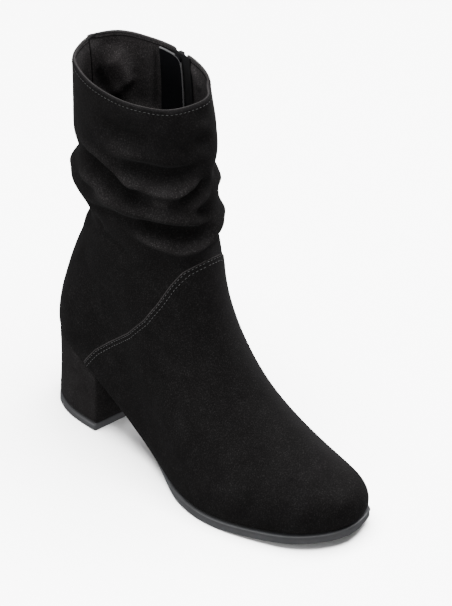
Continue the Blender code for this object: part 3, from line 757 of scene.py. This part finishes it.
roundedCopy("heel_block", "heelCover", heelSuede)
roundedCopy("heel_top_piece", "topPiece", topPieceRubber, crease=0.9)
roundedCopy("outsole", "soleUnit", soleRubber, crease=0.9, sharp=22)
roundedCopy("insole", "insolePad", innerSuede)
roundedCopy("zip_guard", "guardStrip", guardFabric, crease=1.0, shortest=0.0016)
zipTape = roundedCopy("zip_tape", "zipTapeWoven", zipFabric, crease=0.9)
for node in ("zip_slider", "zip_pull"):
    nodes[node].data.materials.clear()
    nodes[node].data.materials.append(zipMetal)
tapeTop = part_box("zip_tape")[1].z
for vert in zipTape.data.vertices:               # the tape's end stands up to the rim
    vert.co.z += zipLook["rise"] * max(0.0, 1 - (tapeTop - vert.co.z) / zipLook["riseOver"])


def addTeeth(points):
    # one link of the coil from each side in turn, meeting in the middle
    bm = bmesh.new()
    look = zipLook
    for k, (at, ahead) in enumerate(zip(points, points[1:])):
        up = (ahead - at).normalized()
        out = Vector((1, 0, 0))
        out = (out - up * out.dot(up)).normalized()
        across = up.cross(out) * (1 if k % 2 else -1)
        turn = Matrix((across, out, up)).transposed().to_4x4()
        shape = Matrix.Diagonal((look["reach"], look["thick"], look["thick"], 1))
        place = Matrix.Translation(at + across * look["reach"] * look["offMiddle"]) @ turn
        bmesh.ops.create_icosphere(bm, subdivisions=1, radius=0.5, matrix=place @ shape)
    bmesh.ops.recalc_face_normals(bm, faces=bm.faces)
    made = newObject("zipTeeth", bm, zipMetal)
    made.data.shade_smooth()
    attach(made, "boot")


addTeeth(coilPoints)
print("heel, sole and inside made")

# back seam and guard binding

seamLook = {
    "radius": 0.0006,
    "sunk": 0.45,                      # share of the radius below the surface
    "foot": 0.075,
    "insideFoot": 0.150,
    "topGap": 0.0012,
    "step": 0.0012,
    "rows": 0.0022,                    # distance of the stitches from the seam
    "castFrom": 0.3,
    "leanHeights": (0.141, 0.256),     # the shaft leans a little, and its back seam with it
    "leanX": (0.0, -0.0045),
}


def backLine(inside, offset=0.0):
    look = seamLook
    foot = look["insideFoot"] if inside else look["foot"]
    startY = upperForm["axisY"] if inside else look["castFrom"]
    rays = []
    for z in np.arange(foot, rimZ - look["topGap"], look["step"]):
        x = float(np.interp(z, look["leanHeights"], look["leanX"])) + offset
        rays.append((Vector((x, startY, z)), Vector((0, 1 if inside else -1, 0))))
    return surfacePoints(rays)


sunk = seamLook["radius"] * seamLook["sunk"]
for inside, name, slot in ((False, "backSeam", "suede"), (True, "liningSeam", "lining")):
    line = [hit - normal * sunk for hit, normal in backLine(inside)]
    tubeAlong(name, line, seamLook["radius"], upperSuede)
sew("backStitches", [backLine(False, side * seamLook["rows"]) for side in (-1, 1)], rimThread)
print("back seam laid")

bindingLook = {
    "radius": 0.0006,
    "topWithin": 0.0006,               # points this close to the guard's top are its top edge
    "topGap": 0.002,
    "footGap": 0.001,
    "step": 0.003,
    "easing": 3,                       # rounds that take the binding round the corner
}


def guardEdge():
    # along the guard's top from the back, round its corner and down its front edge
    look = bindingLook
    bm = mergedCopy("zip_guard")
    foot, top = (corner.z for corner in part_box("zip_guard"))
    topPoints = sorted((v.co.copy() for v in bm.verts if v.co.z > top - look["topWithin"]),
                       key=lambda p: -p.y)
    line = [(topPoints[k] + topPoints[k + 1]) / 2 for k in range(0, len(topPoints) - 1, 2)]
    for z in np.arange(top - look["topGap"], foot + look["footGap"], -look["step"]):
        cut = sorted(levelCut(bm, z), key=lambda p: p.y)
        if len(cut) > 1:
            line.append((cut[0] + cut[1]) / 2)
    bm.free()
    for _ in range(look["easing"]):
        line[1:-1] = eased(line)
    return line


tubeAlong("guardBinding", guardEdge(), bindingLook["radius"], bindingFabric)
print("guard bound")

# floor, light and camera

setting = {
    "floorSize": 6.0,
    "floorTone": 0.82,
    "floorSink": 0.0002,
    "worldTone": 0.37,
    "azimuth": -44.08,
    "elevation": 34.03,
    "roll": 2.53,
    "distance": 8.0,
    "aimZ": 0.110,
    "sensor": 36,
    "pixelsPerMm": 1.6536,
    "centre": (208.365, 312.828),      # where the aimed point of the boot's axis shows
    "frame": (452, 606),
}


def makeFloor():
    bm = bmesh.new()
    bmesh.ops.create_grid(bm, x_segments=1, y_segments=1, size=setting["floorSize"] / 2)
    bmesh.ops.translate(bm, verts=bm.verts, vec=(0, 0, low.z - setting["floorSink"]))
    material, tree, shader = nodeTree("pale floor")
    tone = setting["floorTone"]
    shade = greyRamp(tree, noiseAt(tree, 3, 2, 0.5), [(0.3, tone * 0.995), (0.7, tone)])
    tree.links.new(shade, shader.inputs["Base Color"])
    shader.inputs["Roughness"].default_value = 0.9
    shader.inputs["Specular IOR Level"].default_value = 0.1
    floor = newObject("floor", bm, material)
    floor.visible_diffuse = floor.visible_glossy = False
    return floor


lamps = [
    # name, place, target, size, power; the paper light shines on the white paper ground alone
    ("paperLight", (0, 0, 2.8), (0, 0, 0), (2.6, 2.6), 930),
    ("overhead", (-0.15, 0.1, 1.6), (0, 0, 0.1), (1.1, 1.1), 24),
    ("rightBack", (1.35, 0.15, 1.15), (0, 0, 0.12), (0.7, 0.7), 22),
    ("leftFill", (-1.5, 0.45, 0.45), (0, 0, 0.1), (1.0, 0.8), 11),
    ("frontFill", (-0.5, -1.5, 0.22), (0, -0.1, 0.03), (0.9, 0.4), 7),
]


def addLight(name, at, target, size, power):
    data = bpy.data.lights.new(name, "AREA")
    data.shape = "RECTANGLE"
    data.size, data.size_y = size
    data.energy = power
    made = bpy.data.objects.new(name, data)
    bpy.context.scene.collection.objects.link(made)
    made.location = at
    made.rotation_euler = (Vector(target) - Vector(at)).to_track_quat("-Z", "Y").to_euler()
    return made


def makeWorld():
    world = bpy.data.worlds.new("studio")
    world.use_nodes = True
    background = world.node_tree.nodes["Background"]
    background.inputs["Color"].default_value = (*(setting["worldTone"],) * 3, 1)
    background.inputs["Strength"].default_value = 1.0
    bpy.context.scene.world = world


def makeCamera():
    s = setting
    a, e, r = (math.radians(s[key]) for key in ("azimuth", "elevation", "roll"))
    back = Vector((math.sin(a) * math.cos(e), -math.cos(a) * math.cos(e), math.sin(e)))
    level = Vector((math.cos(a), math.sin(a), 0))
    upright = back.cross(level)
    right = level * math.cos(r) + upright * math.sin(r)
    up = upright * math.cos(r) - level * math.sin(r)
    wide, tall = s["frame"]
    scale = s["pixelsPerMm"] * 1000
    aim = Vector((0, 0, s["aimZ"]))
    aim += right * (wide / 2 - s["centre"][0]) / scale + up * (s["centre"][1] - tall / 2) / scale
    data = bpy.data.cameras.new("view")
    data.sensor_fit = "AUTO"
    data.sensor_width = s["sensor"]
    data.lens = s["sensor"] * scale * s["distance"] / tall     # the long side takes the sensor's width
    data.clip_end = 100
    made = bpy.data.objects.new("view", data)
    bpy.context.scene.collection.objects.link(made)
    turn = Matrix((right, up, back)).transposed().to_4x4()
    made.matrix_world = Matrix.Translation(aim + back * s["distance"]) @ turn
    bpy.context.scene.camera = made


makeWorld()
ground = bpy.data.collections.new("ground")
ground.objects.link(makeFloor())
lights = {lamp[0]: addLight(*lamp) for lamp in lamps}
lights["paperLight"].light_linking.receiver_collection = ground
makeCamera()
print("studio set")
